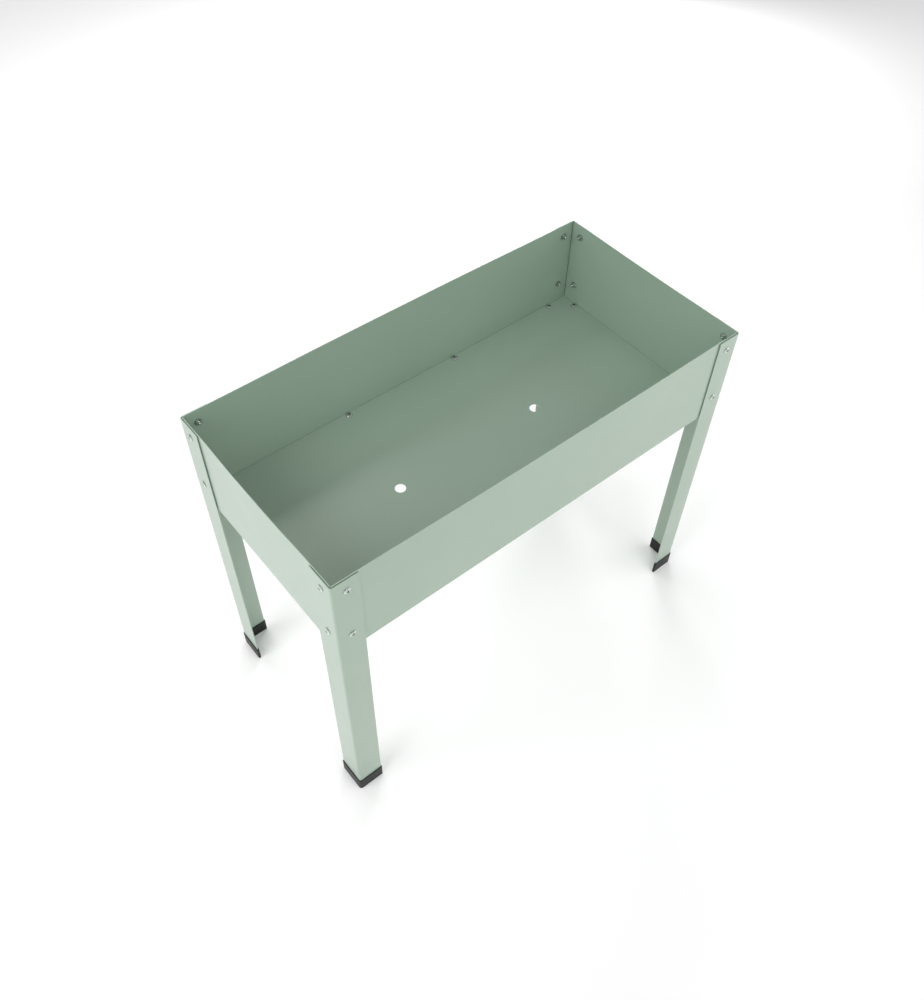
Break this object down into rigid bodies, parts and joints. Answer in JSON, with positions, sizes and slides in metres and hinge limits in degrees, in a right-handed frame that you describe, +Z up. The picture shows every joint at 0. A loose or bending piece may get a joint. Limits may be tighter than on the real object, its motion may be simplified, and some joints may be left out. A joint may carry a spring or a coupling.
{
  "type": "raised planter",
  "caption": "Raised rectangular sheet-metal garden trough bolted between angle-section legs with plastic foot caps, with drain holes in its floor.",
  "frame": {"origin": "on the ground under the centre of the planter", "axes": "+X along the length of the trough, +Y across it towards the rear, +Z up"},
  "size_m": [1.007, 0.496, 0.794],
  "materials": {
    "green_coat": "satin sage-green powder coat with a fine orange peel",
    "zinc_steel": "bright zinc-plated steel",
    "black_plastic": "moulded black plastic, fine grain"
  },
  "bodies": {
    "root": {"leg_front_left": "green_coat", "leg_front_right": "green_coat", "leg_rear_right": "green_coat", "leg_rear_left": "green_coat", "panel_front": "green_coat", "panel_right": "green_coat", "panel_rear": "green_coat", "panel_left": "green_coat", "floor_panel": "green_coat", "foot_cap_front_left": "black_plastic", "foot_cap_front_right": "black_plastic", "foot_cap_rear_right": "black_plastic", "foot_cap_rear_left": "black_plastic", "leg_screws_front_left": "zinc_steel", "leg_nuts_front_left": "zinc_steel", "leg_screws_front_right": "zinc_steel", "leg_nuts_front_right": "zinc_steel", "leg_screws_rear_right": "zinc_steel", "leg_nuts_rear_right": "zinc_steel", "leg_screws_rear_left": "zinc_steel", "leg_nuts_rear_left": "zinc_steel", "floor_screws_front": "zinc_steel", "floor_nuts_front": "zinc_steel", "floor_screws_right": "zinc_steel", "floor_nuts_right": "zinc_steel", "floor_screws_rear": "zinc_steel", "floor_nuts_rear": "zinc_steel", "floor_screws_left": "zinc_steel", "floor_nuts_left": "zinc_steel"}
  },
  "joints": []
}
